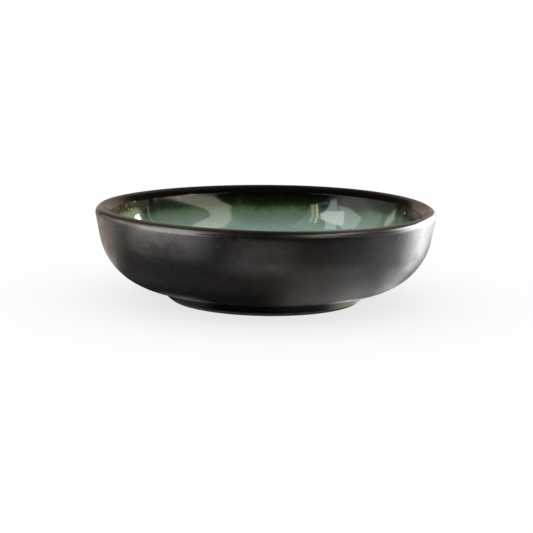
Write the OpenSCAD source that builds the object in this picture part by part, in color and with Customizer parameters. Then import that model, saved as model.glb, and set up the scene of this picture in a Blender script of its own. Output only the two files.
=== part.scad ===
// Glazed stoneware soy sauce dish: a flared, round-cornered bowl on a turned foot ring.
// The origin is on the resting plane, under the centre of the bowl, with +Z up. Millimetres.

/* [Bowl] */
// Outside diameter over the lip
rim_d = 100; // [84:1:140]
// Height from the resting plane to the crown of the lip
height = 27.5; // [24:0.5:45]
// Outward lean of the wall from vertical, in degrees
flare = 11; // [4:1:18]
// Thickness of the glazed wall at the lip
rim_t = 3.8; // [2.4:0.2:6]
// Thickness of the glazed floor
floor_t = 4.6; // [3:0.2:7]
// Outside radius between the bottom and the wall
corner_r = 18.5; // [10:0.5:22]
// Inside radius between the floor and the wall
well_r = 16; // [8:0.5:19]

/* [Foot] */
// Height of the foot under the bowl
foot_h = 3.7; // [2.6:0.1:6]
// Diameter of the foot at the resting plane
foot_d = 57; // [44:1:62]
// Lean of both sides of the foot ring from vertical, in degrees
foot_flare = 22; // [0:1:32]
// Width of the foot ring at the resting plane
foot_w = 5; // [3.6:0.2:8]
// Bevel on both edges of the resting face
foot_bevel = 0.7; // [0.2:0.1:1.2]
// Height of the bare clay between the bevel and the glaze
bare_h = 0.2; // [0.1:0.1:1]
// Radius of the glaze in the crease between the foot and the bowl
crease_r = 1; // [0.4:0.1:1.6]

/* [Glaze] */
// Thickness of the glaze on the walls
glaze_t = 0.4; // [0.2:0.05:0.7]
// Thickness of the green glaze where it pools on the floor
pool_t = 0.9; // [0.5:0.1:1.6]
// Height of the thin brown glaze that breaks over the lip
lip_h = 1.6; // [0.8:0.1:2.4]
// Height of the dark glaze band inside, under the lip
band_h = 5.5; // [2:0.5:8]

/* [Hidden] */
$fn = 128;

// Straight steps along each arc of a section
arc_steps = 24;

// Colours of the clay and the glazes
clay_color = "#4f4239";
outer_color = "#353335";
lip_color = "#4a3a2e";
band_color = "#1d1a15";
well_color = "#7f9c8c";

// A cut runs this far past the shape that it cuts
overrun = rim_t;

// The lip is a half round on the end of the leaning wall
lip_r = rim_t / 2;
lip_at = [rim_d / 2 - lip_r, height - lip_r];
out_of_wall = [cos(flare), -sin(flare)];
up_the_wall = [sin(flare), cos(flare)];

// Heights of the glazed floor, and of the joints between the glazes
well_z = foot_h + floor_t;
lip_z = height - lip_h;
band_z = lip_z - band_h;
bare_z = foot_bevel + bare_h;

// The clay lies one coat inside the glazed outline
clay_bottom_z = foot_h + glaze_t;
clay_well_z = well_z - pool_t;

// The middle of the wall and of the foot parts the glaze outside from the glaze inside
middle_z = (foot_h + well_z) / 2;
middle_r = (corner_r + well_r) / 2;
foot_middle_r = (foot_d - foot_w) / 2;

// Points on an arc, from one angle to another
function arc(centre, r, from, to) = [
    for (i = [0:arc_steps])
        let(a = from + (to - from) * i / arc_steps)
        centre + r * [cos(a), sin(a)]
];

// Centre of a corner of radius r that touches a floor at z, and a wall that is gap out from the lip's centre
function corner_at(z, r, gap) =
    let(on_wall = lip_at + gap * out_of_wall)
    [on_wall.x - (r + (on_wall.y - z - r) * sin(flare)) / cos(flare), z + r];

// Radius of the foot's outer side at height z, taken in by a coat
function foot_outside(z, coat) = foot_d / 2 + z * tan(foot_flare) - coat / cos(foot_flare);

// Radius of the foot's inner side at height z, let out by a coat
function foot_inside(z, coat) = foot_d / 2 - foot_w - z * tan(foot_flare) + coat / cos(foot_flare);

// Centre of the crease, which touches the foot's outer side and the bowl's flat bottom or its round corner
function crease_at(corner) =
    let(
        flat_z = foot_h - crease_r,
        reach = corner_r + crease_r,
        start = [foot_outside(0, -crease_r), 0] - corner,
        rise = [tan(foot_flare), 1],
        along = start * rise / (rise * rise),
        apart = (start * start - reach * reach) / (rise * rise),
        round_z = -along - sqrt(along * along - apart),
        z = foot_outside(flat_z, -crease_r) > corner.x ? round_z : flat_z
    )
    [foot_outside(z, -crease_r), z];

// Outside of a bowl, from its flat bottom up to its lip
function outside_points(bottom_z, r, end_r) =
    arc(corner_at(bottom_z, r, end_r), r, -90, -flare);

// Lip of a bowl, and its inside down to the axis
function inside_points(floor_z, r, end_r) = concat(
    arc(lip_at, end_r, -flare, 180 - flare),
    arc(corner_at(floor_z, r, -end_r), r, -flare, -90),
    [[0, floor_z]]
);

// Glaze on the outside of the foot, from the bare clay up round the crease
function foot_glaze_points() =
    let(
        corner = corner_at(foot_h, corner_r, lip_r),
        crease = crease_at(corner),
        up = crease.x > corner.x ? atan2(corner.y - crease.y, corner.x - crease.x) : 90
    )
    concat(
        [[foot_outside(bare_z, 0), bare_z]],
        arc(crease, crease_r, 180 - foot_flare, up)
    );

// Points of the glazed bottom and wall that lie beyond the crease
function past_crease(points, crease_end) = [for (p = points) if (p.x > crease_end.x) p];

// Half section of the bowl's clay
module clay_section() {
    polygon(concat(
        [[0, clay_bottom_z]],
        outside_points(clay_bottom_z, corner_r - glaze_t, lip_r - glaze_t),
        inside_points(clay_well_z, well_r + glaze_t, lip_r - glaze_t)
    ));
}

// Half section of the foot's clay, up to the underside of the bowl
module foot_section() {
    difference() {
        polygon([
            [foot_inside(0, glaze_t) + foot_bevel, 0],
            [foot_outside(0, glaze_t) - foot_bevel, 0],
            [foot_outside(foot_bevel, glaze_t), foot_bevel],
            [foot_outside(middle_z, glaze_t), middle_z],
            [foot_inside(middle_z, glaze_t), middle_z],
            [foot_inside(foot_bevel, glaze_t), foot_bevel]
        ]);
        clay_section();
    }
}

// Half section of all the glaze, which covers the clay down to the bare part of the foot
module glaze_section() {
    foot_glaze = foot_glaze_points();
    crease_end = foot_glaze[len(foot_glaze) - 1];
    difference() {
        polygon(concat(
            [
                [0, foot_h],
                [foot_inside(foot_h, 0), foot_h],
                [foot_inside(bare_z, 0), bare_z]
            ],
            foot_glaze,
            past_crease(outside_points(foot_h, corner_r, lip_r), crease_end),
            inside_points(well_z, well_r, lip_r)
        ));
        clay_section();
        foot_section();
    }
}

// The glaze between two heights
module glaze_between(z0, z1) {
    intersection() {
        glaze_section();
        translate([0, z0]) square([rim_d, z1 - z0]);
    }
}

// All that lies inside the middle of the wall
module inner_half() {
    polygon(concat(
        [[0, middle_z]],
        outside_points(middle_z, middle_r, 0),
        [lip_at + overrun * up_the_wall, [0, lip_at.y + overrun]]
    ));
}

// All that lies under the bowl, inside the middle of the foot
module under_half() {
    square([foot_middle_r, middle_z]);
}

// Fired clay of the bowl: its floor, wall and lip
module stoneware_bowl() {
    color(clay_color) rotate_extrude() clay_section();
}

// Turned clay ring that the bowl stands on, with its bevelled resting face
module foot_ring() {
    color(clay_color) rotate_extrude() foot_section();
}

// Gunmetal glaze on the outside wall and down the foot, short of the resting face
module outer_glaze() {
    color(outer_color) rotate_extrude() difference() {
        glaze_between(0, lip_z);
        inner_half();
        under_half();
    }
}

// The same glaze on the hollow underside and down the inner side of the foot
module base_glaze() {
    color(outer_color) rotate_extrude() intersection() {
        glaze_section();
        under_half();
    }
}

// Thin brown glaze over the lip
module lip_glaze() {
    color(lip_color) rotate_extrude() glaze_between(lip_z, height + overrun);
}

// Dark glaze band inside, under the lip
module band_glaze() {
    color(band_color) rotate_extrude() intersection() {
        glaze_between(band_z, lip_z);
        inner_half();
    }
}

// Green glaze that lines the well and pools on its floor
module well_glaze() {
    color(well_color) rotate_extrude() intersection() {
        glaze_between(middle_z, band_z);
        inner_half();
    }
}

stoneware_bowl();
foot_ring();
outer_glaze();
base_glaze();
lip_glaze();
band_glaze();
well_glaze();
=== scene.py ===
import math
from collections import namedtuple

import bmesh
import bpy
import numpy as np
from mathutils import Matrix, Vector


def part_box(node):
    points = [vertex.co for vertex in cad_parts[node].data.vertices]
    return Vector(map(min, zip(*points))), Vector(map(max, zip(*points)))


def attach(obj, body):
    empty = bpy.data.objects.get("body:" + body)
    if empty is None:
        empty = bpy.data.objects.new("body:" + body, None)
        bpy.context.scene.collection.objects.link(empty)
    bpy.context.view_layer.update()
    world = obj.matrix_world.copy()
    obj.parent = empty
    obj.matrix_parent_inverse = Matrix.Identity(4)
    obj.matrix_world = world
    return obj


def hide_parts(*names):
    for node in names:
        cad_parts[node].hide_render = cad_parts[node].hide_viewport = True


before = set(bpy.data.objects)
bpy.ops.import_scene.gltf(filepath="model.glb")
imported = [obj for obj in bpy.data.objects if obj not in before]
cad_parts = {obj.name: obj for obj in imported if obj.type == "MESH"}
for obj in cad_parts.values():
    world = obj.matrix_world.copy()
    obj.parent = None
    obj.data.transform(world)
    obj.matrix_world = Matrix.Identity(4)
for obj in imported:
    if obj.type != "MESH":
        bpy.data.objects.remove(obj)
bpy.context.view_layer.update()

# Lengths are in metres, and angles in degrees
MM = 0.001

# Sizes that the frame gives
lip_low, lip_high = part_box("lip_glaze")
RIM_R = lip_high.x
HEIGHT = lip_high.z
LIP_Z = lip_low.z
BAND_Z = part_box("band_glaze")[0].z
BARE_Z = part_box("outer_glaze")[0].z
CLAY_BOTTOM_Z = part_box("stoneware_bowl")[0].z

# Sizes of the section, as in the solids
FLARE = 11
RIM_T = 3.8 * MM
CORNER_R = 18.5 * MM
WELL_R = 16 * MM
FLOOR_T = 4.6 * MM
FOOT_R = 28.5 * MM
FOOT_W = 5 * MM
FOOT_FLARE = 22
FOOT_BEVEL = 0.7 * MM
CREASE_R = 1 * MM
GLAZE_T = 0.4 * MM
POOL_T = 0.9 * MM
LIP_R = RIM_T / 2
FOOT_H = CLAY_BOTTOM_Z - GLAZE_T
WELL_Z = FOOT_H + FLOOR_T
LIP_AT = np.array([RIM_R - LIP_R, HEIGHT - LIP_R])

# The inside of the wall leaves the flare at this share of its length, and over this share
BEND_SHARE = 0.16
BEND_EASE_SHARE = 0.10

# The inner half of the lip slopes down to the wall, as a flat kind of oval with this power in its formula
LIP_FALL = 2.2 * MM
LIP_SLOPE = 2.25 * MM
LIP_POWER = 1.06
LIP_END = 177

# How far the thrown wall is out of true
SADDLE = 0.29 * MM
SADDLE_FROM_Z = 8 * MM
RIPPLE = 0.04 * MM

# Waves of the ripple: share, number in a turn, start in radians, and the height in which the start moves on
# by one radian
Wave = namedtuple("Wave", "share count start height")
WAVES = [
    Wave(1, 3, 0.8, math.inf),
    Wave(0.6, 7, 2.1, 9 * MM),
    Wave(0.5, 11, 0.3, -5 * MM),
]

# Steps round the axis and along the section
TURN_STEPS = 288
CORNER_STEPS = 44
INSIDE_STEPS = 96
LIP_CROWDING = 1.5
LIP_STEPS = 40
CREASE_STEPS = 10
WALL_STEPS = 14
FLAT_STEPS = 16
POLE_R = MM / 1000
SHARP_ANGLE = 35


def arc(centre, r, start, end, steps):
    """Points on an arc, from one angle to another."""
    angles = np.radians(np.linspace(start, end, steps + 1))
    return [centre + r * np.array([math.cos(a), math.sin(a)]) for a in angles]


def line(start, end, steps):
    """Points on a straight line, without its two ends."""
    shares = np.linspace(0, 1, steps + 1)[1:-1]
    return [np.array(start) + s * (np.array(end) - np.array(start)) for s in shares]


def corner_at(z, r, gap):
    """Centre of a corner of radius r between a floor at z and a wall at a gap from the lip's centre."""
    lean = math.radians(FLARE)
    wall = LIP_AT + gap * np.array([math.cos(lean), -math.sin(lean)])
    return np.array([wall[0] - (r + (wall[1] - z - r) * math.sin(lean)) / math.cos(lean), z + r])


def foot_outside(z, coat):
    """Radius of the foot's outer side at height z, taken in by a coat."""
    lean = math.radians(FOOT_FLARE)
    return FOOT_R + z * math.tan(lean) - coat / math.cos(lean)


def foot_inside(z, coat):
    """Radius of the foot's inner side at height z, let out by a coat."""
    lean = math.radians(FOOT_FLARE)
    return FOOT_R - FOOT_W - z * math.tan(lean) + coat / math.cos(lean)


def angle_at(centre, r, z):
    """Angle at which the right half of a circle reaches height z."""
    return math.degrees(math.asin((z - centre[1]) / r))


def crease_at(corner, r):
    """Centre of the crease, which touches the foot's outer side and the bowl's round corner."""
    lean = math.radians(FOOT_FLARE)
    start = np.array([foot_outside(0, -r), 0]) - corner
    rise = np.array([math.tan(lean), 1])
    along = start @ rise / (rise @ rise)
    apart = (start @ start - (CORNER_R + r) ** 2) / (rise @ rise)
    z = -along - math.sqrt(along * along - apart)
    return np.array([foot_outside(z, -r), z])


outer_corner = corner_at(FOOT_H, CORNER_R, LIP_R)
clay_inner_corner = corner_at(WELL_Z - POOL_T, WELL_R + GLAZE_T, GLAZE_T - LIP_R)
crease = crease_at(outer_corner, CREASE_R)
clay_crease = crease_at(outer_corner, -GLAZE_T)
crease_turn = math.degrees(math.atan2(*(outer_corner - crease)[::-1]))
clay_crease_turn = math.degrees(math.atan2(*(clay_crease - outer_corner)[::-1]))
lip_out = angle_at(LIP_AT, LIP_R, LIP_Z)
band_turn = angle_at(clay_inner_corner, WELL_R + GLAZE_T, BAND_Z)


def lip_angle(coat):
    """Angle at which the inner half of the lip, taken in by a coat, reaches the joint with the band."""
    share = (LIP_Z - HEIGHT + LIP_FALL) / (LIP_FALL - coat)
    return 180 - math.degrees(math.asin(share ** (LIP_POWER / 2)))


def lip_inside(start, end, coat):
    """Points on the inner half of the lip, taken in by a coat, from one angle to another."""
    angles = np.radians(np.linspace(start, end, LIP_STEPS + 1))
    shares = np.abs(np.stack([np.cos(angles), np.sin(angles)], axis=1)) ** (2 / LIP_POWER)
    middle = np.array([LIP_AT[0], HEIGHT - LIP_FALL])
    return list(middle + shares * np.array([coat - LIP_SLOPE, LIP_FALL - coat]))


def inner_wall():
    """The inside of the wall, from the lip down. It bends smoothly from the flare to the flat floor."""
    top = np.array([LIP_AT[0] - LIP_SLOPE, HEIGHT - LIP_FALL])
    share = np.linspace(0, 1, INSIDE_STEPS + 1) ** LIP_CROWDING
    past = share - BEND_SHARE
    bend = past + np.hypot(past, BEND_EASE_SHARE)
    bend = (bend - bend[0]) / (bend[-1] - bend[0])
    lean = np.radians(FLARE + (90 - FLARE) * bend)
    lean = (lean[1:] + lean[:-1]) / 2
    steps = np.stack([np.sin(lean), np.cos(lean)], axis=1) * np.diff(share)[:, None]
    steps *= (top[1] - WELL_Z) / steps[:, 1].sum()
    return [top] + list(top - np.cumsum(steps, axis=0))


def outer_section():
    """The outside glaze, from the bare foot up the wall to the lip, and back down the clay."""
    clay_r = CORNER_R - GLAZE_T
    edge = np.array([foot_outside(BARE_Z + GLAZE_T, GLAZE_T), BARE_Z + GLAZE_T])
    front = arc(edge, GLAZE_T, -90 - FOOT_FLARE, -FOOT_FLARE, CREASE_STEPS)
    front += line(front[-1], [foot_outside(crease[1], 0), crease[1]], CREASE_STEPS)
    front += arc(crease, CREASE_R, 180 - FOOT_FLARE, crease_turn, CREASE_STEPS)
    front += arc(outer_corner, CORNER_R, crease_turn - 180, -FLARE, CORNER_STEPS)[1:]
    lip = arc(LIP_AT, LIP_R, -FLARE, lip_out, LIP_STEPS // 4)
    front += line(front[-1], lip[0], WALL_STEPS) + lip
    back = arc(LIP_AT, LIP_R - GLAZE_T, lip_out, -FLARE, LIP_STEPS // 4)
    corner = arc(outer_corner, clay_r, -FLARE, clay_crease_turn, CORNER_STEPS)
    back += line(back[-1], corner[0], WALL_STEPS) + corner
    return front + back


def lip_section():
    """The thin glaze over the lip."""
    front = arc(LIP_AT, LIP_R, lip_out, 90, LIP_STEPS) + lip_inside(90, lip_angle(0), 0)[1:]
    back = lip_inside(lip_angle(GLAZE_T), 90, GLAZE_T)
    return front + back + arc(LIP_AT, LIP_R - GLAZE_T, 90, lip_out, LIP_STEPS)[1:]


def band_section():
    """The dark glaze inside, from under the lip down to the round corner."""
    front = lip_inside(lip_angle(0), LIP_END, 0)
    front += [p for p in inner_wall() if p[1] > BAND_Z]
    front += [next(p for p in inner_wall() if p[1] <= BAND_Z)]
    back = arc(clay_inner_corner, WELL_R + GLAZE_T, band_turn, -FLARE, CORNER_STEPS // 4)
    lip = lip_inside(180, lip_angle(GLAZE_T), GLAZE_T)
    return front + back + line(back[-1], lip[0], WALL_STEPS) + lip


def well_section():
    """The green glaze, from the dark band down the round corner and over the floor."""
    clay_z = WELL_Z - POOL_T
    front = [p for p in inner_wall() if p[1] <= BAND_Z]
    front += line(front[-1], [0, WELL_Z], FLAT_STEPS) + [np.array([0, WELL_Z])]
    back = arc(clay_inner_corner, WELL_R + GLAZE_T, -90, band_turn, CORNER_STEPS)
    return front + [np.array([0, clay_z])] + line([0, clay_z], back[0], FLAT_STEPS) + back


def base_section():
    """The glaze in the hollow under the dish and down the inner side of the foot."""
    edge = np.array([foot_inside(BARE_Z + GLAZE_T, GLAZE_T), BARE_Z + GLAZE_T])
    front = arc(edge, GLAZE_T, FOOT_FLARE - 90, FOOT_FLARE - 180, CREASE_STEPS)
    lean = math.radians(FOOT_FLARE)
    bend = np.array([foot_inside(FOOT_H - CREASE_R, CREASE_R), FOOT_H - CREASE_R])
    bend[0] -= 2 * CREASE_R / math.cos(lean)
    turn = arc(bend, CREASE_R, FOOT_FLARE, 90, CREASE_STEPS)
    front += line(front[-1], turn[0], CREASE_STEPS) + turn
    front += line(turn[-1], [0, FOOT_H], FLAT_STEPS) + [np.array([0, FOOT_H])]
    back = np.array([foot_inside(CLAY_BOTTOM_Z, GLAZE_T), CLAY_BOTTOM_Z])
    return front + [np.array([0, CLAY_BOTTOM_Z])] + line([0, CLAY_BOTTOM_Z], back, FLAT_STEPS) + [back]


def bowl_section():
    """The clay of the bowl."""
    clay_r = CORNER_R - GLAZE_T
    bottom = np.array([0, CLAY_BOTTOM_Z])
    corner = arc(outer_corner, clay_r, -90, -FLARE, CORNER_STEPS)
    points = [bottom] + line(bottom, corner[0], FLAT_STEPS) + corner
    lip = arc(LIP_AT, LIP_R - GLAZE_T, -FLARE, 90, LIP_STEPS) + lip_inside(90, 180, GLAZE_T)[1:]
    points += line(points[-1], lip[0], WALL_STEPS) + lip
    well = arc(clay_inner_corner, WELL_R + GLAZE_T, -FLARE, -90, CORNER_STEPS)
    points += line(points[-1], well[0], WALL_STEPS) + well
    floor = np.array([0, WELL_Z - POOL_T])
    return points + line(points[-1], floor, FLAT_STEPS) + [floor]


def foot_section():
    """The clay ring that the dish stands on, with a soft bevel on both edges of its resting face."""
    inside = foot_inside(0, GLAZE_T)
    outside = foot_outside(0, GLAZE_T)
    inner_bend = np.array([inside + FOOT_BEVEL, FOOT_BEVEL])
    outer_bend = np.array([outside - FOOT_BEVEL, FOOT_BEVEL])
    points = arc(inner_bend, FOOT_BEVEL, 180 + FOOT_FLARE, 270, CREASE_STEPS)
    points += arc(outer_bend, FOOT_BEVEL, 270, 360 - FOOT_FLARE, CREASE_STEPS)
    points += [clay_crease]
    points += arc(outer_corner, CORNER_R - GLAZE_T, clay_crease_turn, -90, CREASE_STEPS)[1:]
    return points + [np.array([foot_inside(CLAY_BOTTOM_Z, GLAZE_T), CLAY_BOTTOM_Z])]


def out_of_true(points):
    """The slight saddle of the rim and the slow ripples of a thrown wall."""
    x, y, z = points.T
    turn = np.arctan2(y, x)
    rise = np.clip((z - SADDLE_FROM_Z) / (HEIGHT - SADDLE_FROM_Z), 0, 1)
    rise = rise * rise * (3 - 2 * rise)
    ripple = sum(w.share * np.sin(w.count * turn + w.start + z / w.height) for w in WAVES)
    radius = np.hypot(x, y)
    grow = 1 + RIPPLE * rise * ripple / np.maximum(radius, MM)
    return np.stack([x * grow, y * grow, z + SADDLE * rise * np.sin(2 * turn)], axis=1)


def revolve(name, section):
    """A closed mesh from a section that goes round a piece. Points on the axis become single poles."""
    turns = np.linspace(0, 2 * math.pi, TURN_STEPS, endpoint=False)
    circle = np.stack([np.cos(turns), np.sin(turns)], axis=1)
    here = np.arange(TURN_STEPS)
    there = np.roll(here, -1)
    rings = []
    points = []
    for r, z in section:
        on_axis = r < POLE_R
        rings.append((len(points), on_axis))
        if on_axis:
            points.append((0, 0, z))
        else:
            points.extend((r * c, r * s, z) for c, s in circle)
    faces = []
    for (first, first_pole), (second, second_pole) in zip(rings, rings[1:] + rings[:1]):
        if first_pole and second_pole:
            continue
        if first_pole:
            faces.extend((first, second + b, second + a) for a, b in zip(here, there))
        elif second_pole:
            faces.extend((first + a, first + b, second) for a, b in zip(here, there))
        else:
            faces.extend((first + a, first + b, second + b, second + a) for a, b in zip(here, there))
    mesh = bpy.data.meshes.new(name)
    mesh.from_pydata(out_of_true(np.array(points, float)).tolist(), [], faces)
    mesh.update()
    mesh.shade_smooth()
    mesh.set_sharp_from_angle(angle=math.radians(SHARP_ANGLE))
    piece = bpy.data.objects.new(name, mesh)
    bpy.context.scene.collection.objects.link(piece)
    return piece


def add(tree, kind, inputs=None, **settings):
    """A new node. Each input is a value, or the output to link to it."""
    made = tree.nodes.new("ShaderNode" + kind)
    for name, value in settings.items():
        setattr(made, name, value)
    for key, value in (inputs or {}).items():
        if isinstance(value, bpy.types.NodeSocket):
            tree.links.new(value, made.inputs[key])
        else:
            made.inputs[key].default_value = value
    return made


def maths(tree, operation, a, b=0.0, c=0.0):
    return add(tree, "Math", {0: a, 1: b, 2: c}, operation=operation).outputs[0]


def scaled(tree, value, low, high, to_low=0.0, to_high=1.0):
    """A value between low and high, eased onto another range."""
    inputs = {"Value": value, "From Min": low, "From Max": high, "To Min": to_low, "To Max": to_high}
    return add(tree, "MapRange", inputs, interpolation_type="SMOOTHSTEP").outputs[0]


def mixed(tree, share, a, b):
    return add(tree, "Mix", {0: share, 6: a, 7: b}, data_type="RGBA").outputs[2]


def noise(tree, place, size, detail=3.0, rough=0.55):
    """Cloudy values about 0.5, with blotches of about that size."""
    inputs = {"Vector": place, "Scale": 1 / size, "Detail": detail, "Roughness": rough}
    return add(tree, "TexNoise", inputs).outputs[0]


def ramp(tree, value, low, high, stops):
    """Colours at given values, blended in between."""
    share = add(tree, "MapRange", {"Value": value, "From Min": low, "From Max": high}).outputs[0]
    made = add(tree, "ValToRGB", {"Fac": share})
    elements = made.color_ramp.elements
    while len(elements) < len(stops):
        elements.new(0.5)
    for element, (at, colour) in zip(elements, stops):
        element.position = (at - low) / (high - low)
        element.color = (*colour, 1)
    return made.outputs[0]


def colour(red, green, blue):
    return (red, green, blue, 1)


def distance(tree, place, point):
    return add(tree, "VectorMath", {0: place, 1: point}, operation="DISTANCE").outputs["Value"]


def swing(tree, value, size):
    """A cloudy value about 0.5, made into a shift about zero."""
    return maths(tree, "MULTIPLY", maths(tree, "SUBTRACT", value, 0.5), size)


def within(tree, value, start, full_start, full_end, end):
    """Full between two values, and eased down to none on both sides."""
    rise = scaled(tree, value, start, full_start)
    return maths(tree, "MULTIPLY", rise, scaled(tree, value, end, full_end))


def new_material(name):
    """A material with only a Principled shader, and that shader, its tree and the place on the object."""
    material = bpy.data.materials.new(name)
    material.use_nodes = True
    tree = material.node_tree
    shader = next(n for n in tree.nodes if n.type == "BSDF_PRINCIPLED")
    place = add(tree, "TexCoord").outputs["Object"]
    return material, tree, shader, place


# Values of a noise that count as its low and high ends, and the detail of the richer noises
WIDE = (0.3, 0.7)
NARROW = (0.35, 0.65)
RICH = 4

# The glaze inside, with its colour by height: green on the floor, dark up the wall, black under the lip
LINER_FROM_Z = WELL_Z - 4 * MM
LINER_STOPS = [
    (8 * MM, (0.28, 0.41, 0.335)),
    (14.5 * MM, (0.27, 0.4, 0.325)),
    (16.9 * MM, (0.195, 0.288, 0.23)),
    (19.4 * MM, (0.13, 0.2, 0.13)),
    (20.7 * MM, (0.07, 0.112, 0.057)),
    (21.5 * MM, (0.022, 0.042, 0.018)),
    (22.3 * MM, (0.009, 0.017, 0.006)),
    (23.4 * MM, (0.006, 0.009, 0.004)),
    (25 * MM, (0.0012, 0.0012, 0.001)),
    (26.3 * MM, (0.002, 0.0016, 0.0012)),
]
STREAK_SIZE = 8 * MM
STREAK_STRETCH = 0.25
STREAK_RUN = 2.4 * MM
BLOTCH_SIZE = 1.6 * MM
BLOTCH_RUN = 1.4 * MM
LINER_GRAIN_SIZE = 0.45 * MM
LINER_GRAIN_SHARE = 0.16
LINER_GRAIN = colour(0.005, 0.012, 0.008)
LINER_ROUGH = 0.04
LINER_ROUGH_MORE = 0.05
PEEL_SIZE = 2.2 * MM
LINER_BUMP = 0.004 * MM

# The green rises a little at the right end. At the left it rises further and is a paler olive: painted light
RIGHT_X = (18 * MM, 38 * MM)
RIGHT_RISE = 1.0 * MM
PAINTED_LIGHT_AT = Vector((-41.8 * MM, 17 * MM, 20.4 * MM))
PAINTED_LIGHT_RISE = 5.5 * MM
PAINTED_LIGHT_RISE_REACH = (9.8 * MM, 4 * MM)
PAINTED_LIGHT_RISE_Z = (24.6 * MM, 22.2 * MM)
PAINTED_LIGHT_REACH = (10 * MM, 3 * MM)
PAINTED_LIGHT_LEVEL = (21 * MM, 18 * MM)
PAINTED_LIGHT_SHARE = 0.6
PAINTED_LIGHT_OLIVE = colour(0.42, 0.47, 0.24)

# Painted sheen: brown at both ends of the band, for the side light that the glaze catches there
ENDS_X = (42.5 * MM, 45.5 * MM)
ENDS_Z = (22.4 * MM, 23.6 * MM)
ENDS_FADE_Z = (24.6 * MM, 25.6 * MM)
ENDS_LEAST = 0.4
ENDS_PAINTED_SHEEN = colour(0.18, 0.13, 0.095)

# Burnt dust over the olive part, pale specks in the band, and one painted glint: a tiny pale dot
DUST_AT = Vector((-43 * MM, 16.5 * MM, 23.6 * MM))
DUST_REACH = (8 * MM, 1.5 * MM)
DUST_Z = (21.6 * MM, 23 * MM, 24.6 * MM, 26 * MM)
DUST_BLOTCHES = (0.38, 0.6)
DUST_SHARES = (0.3, 0.95)
DUST_BROWN = colour(0.1, 0.078, 0.034)
BURNT_Z = (22.6 * MM, 24 * MM)
BURNT_BROWN = colour(0.02, 0.014, 0.007)
SPECK_CELL = 0.75 * MM
SPECK_CROWD_SIZE = 7 * MM
SPECK_CROWD = (0.58, 0.8)
SPECK_SHARE = 0.08
SPECK_DUST_SHARE = 0.8
SPECK_LEAST = 0.08
SPECK_MORE = 0.3
SPECK_EDGE = (1.0, 0.6)
SPECK_RELIEF = 0.5
SPECK_PALE = colour(0.85, 0.68, 0.42)
GLINT_AT = Vector((42.5 * MM, 17.2 * MM, 23.4 * MM))
GLINT_EDGE = (0.6 * MM, 0.3 * MM)
PAINTED_GLINT = colour(0.85, 0.9, 0.9)

# Satin glaze outside: grey, brown clouds, rust high on the wall; painted shade under the lip and by the foot
CLOUD_SIZE = 15 * MM
CLOUD_RANGE = (0.46, 0.64)
CLOUD_AT = Vector((8 * MM, -46 * MM, 21 * MM))
CLOUD_REACH = (20 * MM, 9 * MM)
CLOUD_MORE = 0.14
CLOUD_SHARE = 0.9
CLOUD_ROUGH = 0.05
CLOUD_CRISP = 0.6
MOTTLE_SIZE = 3.5 * MM
MOTTLE_RELIEF = 2.0
SPOT_SIZE = 1.3 * MM
SATIN_GRAIN_SIZE = 0.55 * MM
SATIN_GRAIN_SHARE = 0.3
SATIN_GRAIN = colour(0.005, 0.0045, 0.0042)
SATIN_ROUGH = (0.3, 0.2)
SATIN_BUMP = 0.006 * MM
CLOUD_GREYS = (colour(0.008, 0.0076, 0.0079), colour(0.019, 0.0182, 0.0188))
CLOUD_BROWNS = (colour(0.009, 0.0052, 0.003), colour(0.038, 0.021, 0.0105))
RUST_SPOTS = (0.4, 0.75)
RUST_Z = (20.5 * MM, 24.5 * MM)
RUST_X = (20 * MM, -14 * MM)
RUST_LEAST = 0.25
RUST_SHARE = 0.5
RUST_ROUGH = 0.05
RUST_BROWN = colour(0.045, 0.026, 0.017)
UNDER_LIP_Z = (23.6 * MM, 25.4 * MM)
UNDER_LIP_X = (32 * MM, 16 * MM)
UNDER_LIP_SHARE = 0.95
UNDER_LIP_PAINTED_SHADE = colour(0.003, 0.002, 0.0014)
BY_FOOT_Z = (6.5 * MM, 3.5 * MM)
BY_FOOT_SHARE = 0.85
BY_FOOT_PAINTED_SHADE = colour(0.0025, 0.0022, 0.0022)

# The lip, with distances out from the middle of its top. Its brown is paler at both ends: painted light
LIP_WEAR_SIZE = 3.5 * MM
LIP_WEAR = 0.3 * MM
LIP_TO_OUTSIDE = (-0.4 * MM, 0.6 * MM)
LIP_BREAK = (-0.8 * MM, -0.2 * MM, 0.6 * MM, 1.75 * MM)
LIP_PAINTED_SHADE_BACK = 0.6
LIP_PAINTED_LIGHT_X = (0, 30 * MM)
LIP_BROWNS_PAINTED_LIGHT = (colour(0.026, 0.016, 0.008), colour(0.095, 0.069, 0.048))
LIP_SATIN = (-1.6 * MM, -0.6 * MM)
LIP_SATIN_MORE = 0.2
LIP_POLISH = (-0.2 * MM, 0.6 * MM)
LIP_POLISH_LESS = 0.09
LIP_TO_SATIN = (1.2 * MM, 1.85 * MM)

# Bare clay
CLAY_GRAIN_SIZE = 0.35 * MM
CLAY_GRAIN_RANGE = (0.56, 0.7)
CLAY_GRAIN_SHARE = 0.6
CLAY_GRAIN = colour(0.03, 0.022, 0.018)
CLAY_CRISP = 0.7
CLAY_PATCH_SIZE = 6 * MM
CLAY_BROWNS = (colour(0.038, 0.028, 0.022), colour(0.06, 0.044, 0.034))
CLAY_ROUGH = (0.75, 0.92)
CLAY_BUMP = 0.03 * MM

IOR = 1.5


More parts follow.
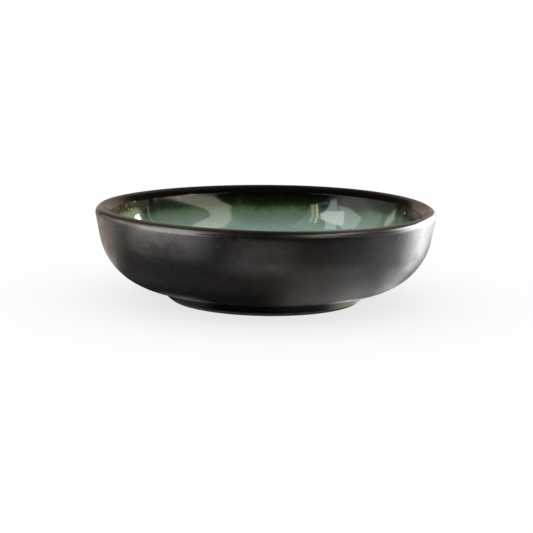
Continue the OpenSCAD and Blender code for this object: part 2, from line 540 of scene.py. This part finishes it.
def pale_specks(tree, place, near_dust, in_band):
    """Small dots of uneven size, which crowd where the dust is."""
    cells = add(tree, "TexVoronoi", {"Vector": place, "Scale": 1 / SPECK_CELL, "Randomness": 1.0})
    chance = add(tree, "SeparateColor", {0: cells.outputs["Color"]}).outputs
    crowd = noise(tree, place, SPECK_CROWD_SIZE, detail=1)
    keep = maths(tree, "ADD", scaled(tree, crowd, *SPECK_CROWD, 0, SPECK_SHARE),
                 maths(tree, "MULTIPLY", near_dust, SPECK_DUST_SHARE))
    keep = maths(tree, "MULTIPLY", keep, in_band)
    chosen = maths(tree, "LESS_THAN", chance[0], keep)
    size = maths(tree, "MULTIPLY_ADD", chance[1], SPECK_MORE, SPECK_LEAST)
    dot = scaled(tree, maths(tree, "DIVIDE", cells.outputs["Distance"], size), *SPECK_EDGE)
    return maths(tree, "MULTIPLY", dot, chosen)


def liner_look(tree, place):
    """Colour, roughness and relief of the glaze inside: black under the lip, then down into grey green."""
    parts = add(tree, "SeparateXYZ", {0: place}).outputs
    x = parts[0]
    z = parts[2]
    flat = add(tree, "CombineXYZ", {0: x, 1: parts[1]}).outputs[0]
    round_the_rim = add(tree, "VectorMath", {0: flat}, operation="NORMALIZE").outputs[0]
    rim_place = add(tree, "VectorMath", {0: round_the_rim, "Scale": RIM_R}, operation="SCALE").outputs[0]
    drawn_out = add(tree, "CombineXYZ", {2: maths(tree, "MULTIPLY", z, STREAK_STRETCH)}).outputs[0]
    streak_place = add(tree, "VectorMath", {0: rim_place, 1: drawn_out}, operation="ADD").outputs[0]
    streaks = noise(tree, streak_place, STREAK_SIZE, detail=2)
    blotches = noise(tree, place, BLOTCH_SIZE)
    level = maths(tree, "ADD", z, swing(tree, streaks, STREAK_RUN))
    level = maths(tree, "ADD", level, swing(tree, blotches, BLOTCH_RUN))
    # Painted light: the green reaches higher at the left end, for the side light that falls there
    painted_light_away = distance(tree, place, PAINTED_LIGHT_AT)
    painted_rise = maths(tree, "MULTIPLY", scaled(tree, painted_light_away, *PAINTED_LIGHT_RISE_REACH, 0, PAINTED_LIGHT_RISE),
                       scaled(tree, z, *PAINTED_LIGHT_RISE_Z))
    level = maths(tree, "SUBTRACT", level, painted_rise)
    level = maths(tree, "SUBTRACT", level, scaled(tree, x, *RIGHT_X, 0, RIGHT_RISE))
    base = ramp(tree, level, LINER_FROM_Z, HEIGHT, LINER_STOPS)
    grain = noise(tree, place, LINER_GRAIN_SIZE, detail=2)
    base = mixed(tree, scaled(tree, grain, *NARROW, 0, LINER_GRAIN_SHARE), base, LINER_GRAIN)
    # Painted light: a paler olive green at the left end
    olive = maths(tree, "MULTIPLY", scaled(tree, painted_light_away, *PAINTED_LIGHT_REACH, 0, PAINTED_LIGHT_SHARE),
                  scaled(tree, level, *PAINTED_LIGHT_LEVEL))
    base = mixed(tree, olive, base, PAINTED_LIGHT_OLIVE)
    # Painted sheen: brown at both ends of the band, fading towards the lip
    ends = scaled(tree, maths(tree, "ABSOLUTE", x), *ENDS_X)
    ends = maths(tree, "MULTIPLY", ends, scaled(tree, z, *ENDS_Z))
    ends = maths(tree, "MULTIPLY", ends, scaled(tree, z, *ENDS_FADE_Z, 1, ENDS_LEAST))
    base = mixed(tree, ends, base, ENDS_PAINTED_SHEEN)
    near_dust = scaled(tree, distance(tree, place, DUST_AT), *DUST_REACH)
    in_band = within(tree, z, *DUST_Z)
    base = mixed(tree, maths(tree, "MULTIPLY", near_dust, scaled(tree, z, *BURNT_Z)), base, BURNT_BROWN)
    dust = maths(tree, "MULTIPLY", near_dust, scaled(tree, blotches, *DUST_BLOTCHES, *DUST_SHARES))
    base = mixed(tree, maths(tree, "MULTIPLY", dust, in_band), base, DUST_BROWN)
    specks = pale_specks(tree, place, near_dust, in_band)
    base = mixed(tree, specks, base, SPECK_PALE)
    # A painted glint: one tiny pale dot on the band at the right
    base = mixed(tree, scaled(tree, distance(tree, place, GLINT_AT), *GLINT_EDGE), base, PAINTED_GLINT)
    rough = maths(tree, "MULTIPLY_ADD", blotches, LINER_ROUGH_MORE, LINER_ROUGH)
    peel = noise(tree, place, PEEL_SIZE, detail=2)
    relief = maths(tree, "ADD", peel, maths(tree, "MULTIPLY", specks, SPECK_RELIEF))
    return base, rough, relief


def gunmetal_look(tree, place):
    """Colour, roughness and relief of the satin glaze outside: grey with brown clouds and a fine grain."""
    parts = add(tree, "SeparateXYZ", {0: place}).outputs
    x = parts[0]
    z = parts[2]
    clouds = noise(tree, place, CLOUD_SIZE, RICH, CLOUD_CRISP)
    more = scaled(tree, distance(tree, place, CLOUD_AT), *CLOUD_REACH, 0, CLOUD_MORE)
    clouds = scaled(tree, maths(tree, "ADD", clouds, more), *CLOUD_RANGE)
    mottle = noise(tree, place, MOTTLE_SIZE, RICH, CLOUD_CRISP)
    spots = noise(tree, place, SPOT_SIZE)
    grain = noise(tree, place, SATIN_GRAIN_SIZE, detail=2)
    pale = scaled(tree, mottle, *WIDE)
    grey = mixed(tree, pale, *CLOUD_GREYS)
    brown = mixed(tree, pale, *CLOUD_BROWNS)
    base = mixed(tree, maths(tree, "MULTIPLY", clouds, CLOUD_SHARE), grey, brown)
    rust = maths(tree, "MULTIPLY", scaled(tree, spots, *RUST_SPOTS), scaled(tree, z, *RUST_Z))
    rust = maths(tree, "MULTIPLY", rust, scaled(tree, x, *RUST_X, RUST_LEAST, 1))
    base = mixed(tree, maths(tree, "MULTIPLY", rust, RUST_SHARE), base, RUST_BROWN)
    # Painted shade: darker just under the lip, away from the sides
    under_lip_shade = maths(tree, "MULTIPLY", scaled(tree, z, *UNDER_LIP_Z, 0, UNDER_LIP_SHARE),
                      scaled(tree, maths(tree, "ABSOLUTE", x), *UNDER_LIP_X))
    base = mixed(tree, under_lip_shade, base, UNDER_LIP_PAINTED_SHADE)
    # Painted shade: darker low on the wall by the foot
    base = mixed(tree, scaled(tree, z, *BY_FOOT_Z, 0, BY_FOOT_SHARE), base, BY_FOOT_PAINTED_SHADE)
    base = mixed(tree, scaled(tree, grain, *NARROW, 0, SATIN_GRAIN_SHARE), base, SATIN_GRAIN)
    rough = scaled(tree, mottle, *WIDE, *SATIN_ROUGH)
    rough = maths(tree, "ADD", rough, maths(tree, "MULTIPLY", clouds, CLOUD_ROUGH))
    rough = maths(tree, "ADD", rough, maths(tree, "MULTIPLY", rust, RUST_ROUGH))
    relief = maths(tree, "ADD", grain, maths(tree, "MULTIPLY", mottle, MOTTLE_RELIEF))
    return base, rough, relief


def finish_shader(material, tree, shader, look, bump):
    """Links a look to the shader, and gives it its relief."""
    base, rough, relief = look
    tree.links.new(base, shader.inputs["Base Color"])
    tree.links.new(rough, shader.inputs["Roughness"])
    bumped = add(tree, "Bump", {"Height": relief, "Strength": 1.0, "Distance": bump})
    tree.links.new(bumped.outputs[0], shader.inputs["Normal"])
    shader.inputs["IOR"].default_value = IOR
    return material


def liner_glaze(name):
    """The glossy glaze inside."""
    material, tree, shader, place = new_material(name)
    return finish_shader(material, tree, shader, liner_look(tree, place), LINER_BUMP)


def gunmetal_glaze(name):
    """The satin glaze outside."""
    material, tree, shader, place = new_material(name)
    return finish_shader(material, tree, shader, gunmetal_look(tree, place), SATIN_BUMP)


def lip_glaze(name):
    """The glaze over the lip: the liner inside, then a thin brown break, then the outside glaze."""
    material, tree, shader, place = new_material(name)
    inside = liner_look(tree, place)
    outside = gunmetal_look(tree, place)
    parts = add(tree, "SeparateXYZ", {0: place}).outputs
    flat = add(tree, "CombineXYZ", {0: parts[0], 1: parts[1]}).outputs[0]
    radius = add(tree, "VectorMath", {0: flat}, operation="LENGTH").outputs["Value"]
    out = maths(tree, "SUBTRACT", radius, LIP_AT[0])
    worn = noise(tree, place, LIP_WEAR_SIZE, detail=1)
    across = maths(tree, "ADD", out, swing(tree, worn, LIP_WEAR))
    # Painted light and shade: the lip's brown is paler at the ends and front, darker at the back
    back = maths(tree, "MULTIPLY", maths(tree, "MAXIMUM", parts[1], 0.0), LIP_PAINTED_SHADE_BACK)
    aside = maths(tree, "SUBTRACT", maths(tree, "ABSOLUTE", parts[0]), back)
    brown = mixed(tree, scaled(tree, aside, *LIP_PAINTED_LIGHT_X), *LIP_BROWNS_PAINTED_LIGHT)
    base = mixed(tree, scaled(tree, across, *LIP_TO_OUTSIDE), inside[0], outside[0])
    base = mixed(tree, within(tree, across, *LIP_BREAK), base, brown)
    satin = maths(tree, "ADD", inside[1], scaled(tree, out, *LIP_SATIN, 0, LIP_SATIN_MORE))
    satin = maths(tree, "SUBTRACT", satin, scaled(tree, out, *LIP_POLISH, 0, LIP_POLISH_LESS))
    rough = add(tree, "Mix", {0: scaled(tree, out, *LIP_TO_SATIN), 2: satin, 3: outside[1]}).outputs[0]
    return finish_shader(material, tree, shader, (base, rough, inside[2]), LINER_BUMP)


def bare_clay(name):
    """Dark stoneware, matt and grainy."""
    material, tree, shader, place = new_material(name)
    grain = noise(tree, place, CLAY_GRAIN_SIZE, RICH, CLAY_CRISP)
    patches = noise(tree, place, CLAY_PATCH_SIZE)
    base = mixed(tree, scaled(tree, patches, *WIDE), *CLAY_BROWNS)
    base = mixed(tree, scaled(tree, grain, *CLAY_GRAIN_RANGE, 0, CLAY_GRAIN_SHARE), base, CLAY_GRAIN)
    rough = scaled(tree, grain, *WIDE, *CLAY_ROUGH)
    return finish_shader(material, tree, shader, (base, rough, grain), CLAY_BUMP)


Part = namedtuple("Part", "name section node slot look")

PARTS = [
    Part("bowl_clay", bowl_section, "stoneware_bowl", "clay", bare_clay),
    Part("foot_clay", foot_section, "foot_ring", "clay", bare_clay),
    Part("outer_coat", outer_section, "outer_glaze", "gunmetal_glaze", gunmetal_glaze),
    Part("base_coat", base_section, "base_glaze", "gunmetal_glaze", gunmetal_glaze),
    Part("lip_coat", lip_section, "lip_glaze", "lip_glaze", lip_glaze),
    Part("band_coat", band_section, "band_glaze", "band_glaze", liner_glaze),
    Part("well_coat", well_section, "well_glaze", "well_glaze", liner_glaze),
]

for part in PARTS:
    piece = revolve(part.name, part.section())
    piece.data.materials.append(part.look(part.name))
    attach(piece, "root")
    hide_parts(part.node)

# Studio: azimuth 0 is towards the camera and grows to the picture's right
FLOOR_R = 12
FLOOR_NEAR_R = 0.5
FLOOR_WHITE = 0.25
FLOOR_GLOW = 0.75
SKY_WHITE = 1
CARD_R = 3.0
CARD_STEP = 0.1
CARD_CUTS = 12
CARD_STEPS = 24
OVAL_STEPS = 32
SIDE_STEPS = 5
SIDE_START = -78
SIDE_END = -121
SIDE_WIDTH = 7
SIDE_TOP = 50
SIDE_DROP = 5
TABLE_STEPS = 60
TABLE_TURNS = 144
TABLE_R = 0.5
TABLE_Z = 0.5 * MM

# Lowest elevation of the far cards, and radius and heights of those that stand near the dish
LOWEST = 0.2
LAMP_R = 0.225
LAMP_Z = (0.054, 0.077)
LOW_LEFT_R = 0.068
LOW_LEFT_Z = (0.0245, 0.036)
LOW_LEFT_END_Z = (0.0245, 0.04)
LOW_RIGHT_R = 0.062
LOW_RIGHT_START_Z = (0.0235, 0.043)
LOW_RIGHT_Z = (0.0225, 0.0425)
LOW_RIGHT_END_Z = (0.0225, 0.0405)


def direction(azimuth, elevation):
    a = math.radians(azimuth)
    e = math.radians(elevation)
    return Vector((math.sin(a) * math.cos(e), -math.cos(a) * math.cos(e), math.sin(e)))


def glow_material(name):
    """Light of the amount that the mesh carries."""
    material = bpy.data.materials.new(name)
    material.use_nodes = True
    tree = material.node_tree
    tree.nodes.clear()
    light = add(tree, "Attribute", attribute_name="light")
    glow = add(tree, "Emission", {"Color": light.outputs["Color"], "Strength": 1.0})
    out = add(tree, "OutputMaterial")
    tree.links.new(glow.outputs[0], out.inputs["Surface"])
    return material


card_light = glow_material("card_light")


def new_card(name, points, faces, shades):
    """A card that only gloss shows, with its light at each point."""
    mesh = bpy.data.meshes.new(name)
    mesh.from_pydata(points, [], faces)
    attribute = mesh.attributes.new("light", "FLOAT_COLOR", "POINT")
    attribute.data.foreach_set("color", np.array([(*s, 1) for s in shades], np.float32).ravel())
    mesh.materials.append(card_light)
    card = bpy.data.objects.new(name, mesh)
    bpy.context.scene.collection.objects.link(card)
    card.visible_camera = False
    card.visible_diffuse = False
    card.visible_transmission = False
    card.visible_volume_scatter = False
    card.visible_shadow = False
    return card


def blend(low, high, share):
    return tuple(a + (b - a) * share for a, b in zip(low, high))


def outline_card(name, outline, low, high, layer):
    """A far card with an outline in azimuth and elevation. Its light goes from low at its foot to high."""
    foot = min(e for _, e in outline)
    top = max(e for _, e in outline)
    sheet = bmesh.new()
    sheet.faces.new([sheet.verts.new((a, e, 0)) for a, e in outline])
    bmesh.ops.triangulate(sheet, faces=sheet.faces[:])
    bmesh.ops.subdivide_edges(sheet, edges=sheet.edges[:], cuts=CARD_CUTS, use_grid_fill=True)
    sheet.verts.index_update()
    points = [direction(v.co.x, v.co.y) * (CARD_R - layer * CARD_STEP) for v in sheet.verts]
    shades = [blend(low, high, (v.co.y - foot) / (top - foot)) for v in sheet.verts]
    faces = [[v.index for v in f.verts] for f in sheet.faces]
    sheet.free()
    return new_card(name, points, faces, shades)


def overhead_card(name, elevation, light):
    """A far flat disc overhead, down to an elevation."""
    points = [direction(a, elevation) * CARD_R for a in np.linspace(0, 360, OVAL_STEPS, endpoint=False)]
    return new_card(name, points, [list(range(OVAL_STEPS))], [light] * OVAL_STEPS)


def standing_card(name, azimuths, reach, heights, light):
    """A curved upright card near the dish."""
    turns = np.linspace(*azimuths, CARD_STEPS + 1)
    points = [direction(a, 0) * reach + Vector((0, 0, z)) for z in heights for a in turns]
    row = CARD_STEPS + 1
    faces = [(i, i + 1, row + i + 1, row + i) for i in range(CARD_STEPS)]
    return new_card(name, points, faces, [light] * len(points))


def pool_share(pool, azimuth, reach):
    """Share of a pool's light at a place on the table."""
    turn = (azimuth - pool.azimuth + 180) % 360 - 180
    beyond = max(pool.start - reach, reach - pool.end, 0) / pool.soft
    return math.exp(-(turn / pool.width) ** 4 - beyond ** 2)


def eased(share):
    """A share that starts and ends smoothly."""
    share = min(max(share, 0), 1)
    return share * share * (3 - 2 * share)


def lit_share(place):
    """Share of the side light on the table. The dish shades it, with an edge that softens further off."""
    way = place - Vector(SHADE_FROM)
    along = way.dot(direction(SHADE_AZIMUTH, 0))
    across = way.dot(direction(SHADE_AZIMUTH - 90, 0))
    edge = eased(0.5 + across / (SHADE_SOFT + SHADE_SPREAD * max(along, 0)))
    least = LIT_LEAST * eased(1 + along / LIT_START)
    return edge * (least + (1 - LIT_LEAST) * eased((along - across / 2) / LIT_RISE))


def table_light(azimuth, reach):
    """Light of the table top at a place: dim, with brighter pools and the side light."""
    light = np.array(TABLE_DIM)
    for pool in POOLS:
        light = light + np.array(pool.light) * pool_share(pool, azimuth, reach)
    return tuple(light + np.array(LIT) * lit_share(direction(azimuth, 0) * reach))


def table_card(name, reaches, z):
    """A ring just over the floor, that stands for the top of a dim table."""
    turns = np.linspace(0, 360, TABLE_TURNS, endpoint=False)
    places = [(a, r) for r in np.geomspace(*reaches, TABLE_STEPS + 1) for a in turns]
    points = [direction(a, 0) * r + Vector((0, 0, z)) for a, r in places]
    row = TABLE_TURNS
    faces = [(j * row + i, j * row + (i + 1) % row, (j + 1) * row + (i + 1) % row, (j + 1) * row + i)
             for j in range(TABLE_STEPS) for i in range(row)]
    return new_card(name, points, faces, [table_light(a, r) for a, r in places])


# Light of the cards
BLACK = (0, 0, 0)
CREAM_DIM = (2.7, 2.65, 1.9)
CREAM = (4.6, 4.5, 3.8)
CREAM_GLOW = (0.22, 0.23, 0.2)
SHADE_DARK = (0.1, 0.12, 0.09)
SHADE = (0.55, 0.57, 0.52)
STRIP_DIM = (4.2, 4.4, 3)
STRIP = (8, 8, 5)
WINDOW = (8.2, 8.4, 8.6)
GREY = (4.0, 4.4, 4.3)
TEAL = (0.1, 0.35, 0.65)
LEAF = (3.1, 3, 2.2)
PANEL_EDGE = (1.7, 1.7, 1.3)
HAZE = (1.4, 1.45, 1.35)
SIDE = (1, 1, 1)
DIM_SIDE = (0.5, 0.52, 0.42)
OLIVE = (0.5, 0.47, 0.33)
BROWN_PALE = (0.48, 0.4, 0.36)
BROWN_DARK = (0.1, 0.083, 0.07)
NIGHT = (0.02, 0.017, 0.014)
LAMP = (50, 50, 52)
LOW_LEFT = (7.6, 7.3, 7)
LOW_END = (2.2, 2.1, 2)
LOW_SIDE = (0.9, 0.8, 0.7)
LOW_RIGHT_START = (12, 12.4, 13)
LOW_RIGHT = (8.4, 8.5, 8.8)
LOW_RIGHT_DIM = (5, 4.9, 4.8)
LOW_RIGHT_END = (3.4, 2.5, 1.8)
RIGHT_GLOW = (2.2, 2.15, 2.1)

# Cards that grow brighter towards the right: start, end and share of the light
LOW_RIGHT_RAMP = [(56, 60, 0.12), (60, 63, 0.35), (63, 66, 0.6), (66, 70, 0.9), (70, 80, 1)]

# Pools of light on the table, from and to a distance from the dish's axis
Pool = namedtuple("Pool", "azimuth width start end soft light")

TABLE_DIM = (0.02, 0.018, 0.017)
POOLS = [
    Pool(-30, 60, 48 * MM, 76 * MM, 6 * MM, (0.15, 0.14, 0.135)),
    Pool(-2, 15, 70 * MM, 80 * MM, 9 * MM, (0.9, 0.89, 0.9)),
    Pool(31, 23, 44 * MM, 62 * MM, 10 * MM, (0.65, 0.64, 0.64)),
    Pool(60, 28, 42 * MM, 84 * MM, 8 * MM, (0.55, 0.54, 0.54)),
    Pool(78, 16, 42 * MM, 55 * MM, 5 * MM, (0.8, 0.78, 0.76)),
    Pool(62, 19, 29 * MM, 31.5 * MM, 1 * MM, (1.8, 1.6, 1.45)),
    Pool(-50, 16, 29 * MM, 34 * MM, 2 * MM, (0.2, 0.19, 0.19)),
    Pool(148, 22, 125 * MM, 500 * MM, 10 * MM, (1, 1, 1)),
    Pool(118, 25, 100 * MM, 500 * MM, 10 * MM, (0.8, 0.8, 0.8)),
    Pool(116, 16, 52 * MM, 80 * MM, 6 * MM, (0.6, 0.57, 0.54)),
    Pool(88, 9, 60 * MM, 80 * MM, 6 * MM, (1.6, 1.6, 1.6)),
    Pool(-58, 22, 114 * MM, 500 * MM, 15 * MM, (8.5, 8.2, 7.9)),
    Pool(-35, 9, 88 * MM, 100 * MM, 5 * MM, (1.2, 1.18, 1.17)),
    Pool(-122, 32, 60 * MM, 250 * MM, 8 * MM, (0.8, 0.67, 0.6)),
]

# The side light on the table, and the edge of the dish's shade in it
SHADE_FROM = (46.5 * MM, -12 * MM, 0)
SHADE_AZIMUTH = 142
SHADE_SOFT = 6 * MM
SHADE_SPREAD = 0.6
LIT_LEAST = 0.1
LIT_START = 22 * MM
LIT_RISE = 55 * MM
LIT = (6.2, 6.2, 6.3)


def panel_shade():
    """A darker part of the panel, with a round end that opens like a parabola, and an upright other end."""
    tip = (48, 28.5)
    top = 47
    foot = 9
    spread = 4.95
    power = 2.75
    elevations = np.linspace(top, foot, OVAL_STEPS)
    outline = [(tip[0] + (abs(e - tip[1]) / spread) ** power, e) for e in elevations]
    outline += [(103, 8), (105, 12), (106, 22), (106, top)]
    return outline_card("panel_shade", outline, SHADE_DARK, SHADE, layer=3)


outline_card("dark_room", [
    (-108, LOWEST), (-108, 6.5), (-75, 9.5), (-60, 12), (-53, 14), (-45, 16), (-36, 19), (-33, 70), (26, 70),
    (28, 21), (31, 19), (40, 15), (60, 12), (86, 6.3), (98, 5.5), (98, LOWEST), (0, LOWEST),
], BLACK, BLACK, layer=1)
overhead_card("dim_ceiling", 60, NIGHT)
outline_card("back_right", [(98, LOWEST), (98, 62), (150, 62), (150, LOWEST)], BROWN_DARK, NIGHT, layer=0)
outline_card("olive_wall", [(100, LOWEST), (104, 9), (150, 7), (150, LOWEST)], OLIVE, OLIVE, layer=0.5)
outline_card("right_glow", [
    (150, LOWEST), (150, 10), (160, 9.5), (163.5, 7), (164.5, LOWEST),
], RIGHT_GLOW, RIGHT_GLOW, layer=1)
outline_card("back", [(150, LOWEST), (150, 62), (207, 62), (207, LOWEST)], BROWN_PALE, BROWN_DARK, layer=0)
outline_card("back_left", [
    (207, LOWEST), (207, 62), (284, 62), (284, 28), (239, 28), (239, 5), (252, 6), (252, LOWEST),
], BROWN_DARK, NIGHT, layer=0)
for i in range(SIDE_STEPS):
    start = SIDE_START - SIDE_WIDTH * i
    end = start - SIDE_WIDTH if i < SIDE_STEPS - 1 else SIDE_END
    top = SIDE_TOP - SIDE_DROP * i
    side = blend(SIDE, DIM_SIDE, (i + 1) / SIDE_STEPS)
    outline_card("side_%d" % i, [(start, 6), (start, top), (end, top), (end, 5)], side, side, layer=0.5)
outline_card("haze", [
    (-62, 12.2), (-75, 10.2), (-84, 9.9), (-104, 11.5), (-106, 38), (-72, 44),
], HAZE, HAZE, layer=1)
outline_card("panel_glow", [(20, 16), (20, 50), (30, 50), (28, 19)], CREAM_GLOW, CREAM_GLOW, layer=2)
outline_card("cream_panel", [
    (97, 5.6), (86, 6.3), (60, 12), (40, 15), (31, 19), (28, 21), (30, 26), (32, 40), (35, 48), (51, 60),
    (95, 60),
], CREAM_DIM, CREAM, layer=2)
panel_shade()
outline_card("panel_edge", [
    (104, 8.5), (105.5, 14), (106, 40), (108, 40), (107.5, 13), (105.5, 8),
], PANEL_EDGE, PANEL_EDGE, layer=4)
outline_card("strip_near", [
    (-36.6, 18), (-39, 18), (-40.4, 23), (-42, 29), (-44, 37), (-46, 46), (-43.4, 46), (-41.4, 37),
    (-39.7, 29), (-38, 23),
], STRIP_DIM, STRIP_DIM, layer=3)
outline_card("strip_far", [
    (-40.4, 17.5), (-42.2, 17.5), (-43.4, 22), (-45.2, 28), (-47.5, 35), (-51, 46), (-49, 46), (-45.5, 35),
    (-43.3, 28), (-41.6, 22),
], STRIP, STRIP, layer=3)
outline_card("teal_patch", [
    (-43, 17.5), (-46, 28), (-58, 50), (-66, 42), (-50, 24), (-53, 15.5),
], TEAL, TEAL, layer=2)
outline_card("window", [
    (-47, 28), (-50, 23), (-66, 18), (-69, 25), (-77, 41), (-66, 41), (-58, 40), (-50, 35.5),
], WINDOW, WINDOW, layer=4)
outline_card("window_side", [(-50, 22), (-53, 14), (-58, 13), (-61, 19)], GREY, GREY, layer=3)
outline_card("grey_wall", [
    (-60, 14.8), (-72, 14.5), (-85, 21), (-90, 37), (-85, 45), (-77, 43),
], GREY, GREY, layer=3)
outline_card("grey_patch", [(-57, 42), (-67, 38), (-79, 49), (-70, 54)], GREY, GREY, layer=3)
outline_card("side_leaf", [
    (-117.5, 5.5), (-113, 7.5), (-110.3, 11), (-109.5, 14), (-111, 19), (-114.5, 19), (-117, 13.5),
    (-118.3, 9),
], LEAF, LEAF, layer=3)
standing_card("lamp", (126, 132), LAMP_R, LAMP_Z, LAMP)
standing_card("low_left", (-28, -61), LOW_LEFT_R, LOW_LEFT_Z, LOW_LEFT)
standing_card("low_left_end", (-61, -80), LOW_LEFT_R, LOW_LEFT_END_Z, LOW_END)
standing_card("low_left_side", (-80, -96), LOW_LEFT_R, LOW_LEFT_Z, LOW_SIDE)
for i, (start, end, share) in enumerate(LOW_RIGHT_RAMP):
    light = blend(BLACK, LOW_RIGHT_START, share)
    standing_card("low_right_start_%d" % i, (start, end), LOW_RIGHT_R, LOW_RIGHT_START_Z, light)
standing_card("low_right", (80, 97), LOW_RIGHT_R, LOW_RIGHT_Z, LOW_RIGHT)
standing_card("low_right_dim", (97, 104), LOW_RIGHT_R, LOW_RIGHT_END_Z, LOW_RIGHT_DIM)
standing_card("low_right_end", (104, 107), LOW_RIGHT_R, LOW_RIGHT_END_Z, LOW_RIGHT_END)
table_card("table", (FOOT_R, TABLE_R), TABLE_Z)

# A white room and a pale floor
world = bpy.data.worlds.new("white_room")
world.use_nodes = True
bpy.context.scene.world = world
background = next(n for n in world.node_tree.nodes if n.type == "BACKGROUND")
background.inputs["Color"].default_value = colour(1, 1, 1)
background.inputs["Strength"].default_value = SKY_WHITE


def floor():
    """A wide pale floor. It is open under the foot and clear from below, so that the underside shows too."""
    hole = foot_outside(0, GLAZE_T) - FOOT_BEVEL
    turns = [2 * math.pi * i / TURN_STEPS for i in range(TURN_STEPS)]
    points = [(r * math.cos(t), r * math.sin(t), 0) for r in (hole, FLOOR_NEAR_R, FLOOR_R) for t in turns]
    faces = []
    for ring in range(2):
        for i in range(TURN_STEPS):
            a = ring * TURN_STEPS + i
            b = ring * TURN_STEPS + (i + 1) % TURN_STEPS
            faces.append((a, a + TURN_STEPS, b + TURN_STEPS, b))
    mesh = bpy.data.meshes.new("floor")
    mesh.from_pydata(points, [], faces)
    material = bpy.data.materials.new("pale_floor")
    material.use_nodes = True
    tree = material.node_tree
    tree.nodes.clear()
    matt = add(tree, "BsdfDiffuse", {"Color": colour(FLOOR_WHITE, FLOOR_WHITE, FLOOR_WHITE)})
    rays = add(tree, "LightPath").outputs
    seen = maths(tree, "ADD", rays["Is Camera Ray"], rays["Is Glossy Ray"])
    seen = maths(tree, "ADD", seen, rays["Is Transmission Ray"])
    glow = add(tree, "Emission", {"Strength": maths(tree, "MULTIPLY", seen, FLOOR_GLOW)})
    pale = add(tree, "AddShader", {0: matt.outputs[0], 1: glow.outputs[0]})
    clear = add(tree, "BsdfTransparent")
    below = add(tree, "NewGeometry").outputs["Backfacing"]
    sided = add(tree, "MixShader", {0: below, 1: pale.outputs[0], 2: clear.outputs[0]})
    out = add(tree, "OutputMaterial")
    tree.links.new(sided.outputs[0], out.inputs["Surface"])
    mesh.materials.append(material)
    made = bpy.data.objects.new("floor", mesh)
    bpy.context.scene.collection.objects.link(made)


floor()

# Camera, as the photograph was taken
CAMERA_LENS = 118.9
SENSOR = 36
CAMERA_DISTANCE = 0.52
CAMERA_PITCH = 9.49
CAMERA_ROLL = 0.98
LOOK_AT = Vector((0, 0, 0.014))
AIM_RIGHT = 0.37 * MM
AIM_DOWN = 4.58 * MM


def camera():
    """A long lens, a little above the rim and slightly rolled."""
    data = bpy.data.cameras.new("camera")
    data.lens = CAMERA_LENS
    data.sensor_width = SENSOR
    made = bpy.data.objects.new("camera", data)
    bpy.context.scene.collection.objects.link(made)
    back = -direction(180, -CAMERA_PITCH)
    roll = Matrix.Rotation(math.radians(CAMERA_ROLL), 3, "Z")
    turn = back.to_track_quat("Z", "Y").to_matrix() @ roll
    place = LOOK_AT + back * CAMERA_DISTANCE
    aim = LOOK_AT + turn.col[0] * AIM_RIGHT - turn.col[1] * AIM_DOWN
    turn = (place - aim).to_track_quat("Z", "Y").to_matrix() @ roll
    made.matrix_world = Matrix.Translation(place) @ turn.to_4x4()
    bpy.context.scene.camera = made


camera()

bpy.context.scene.view_settings.view_transform = "Standard"
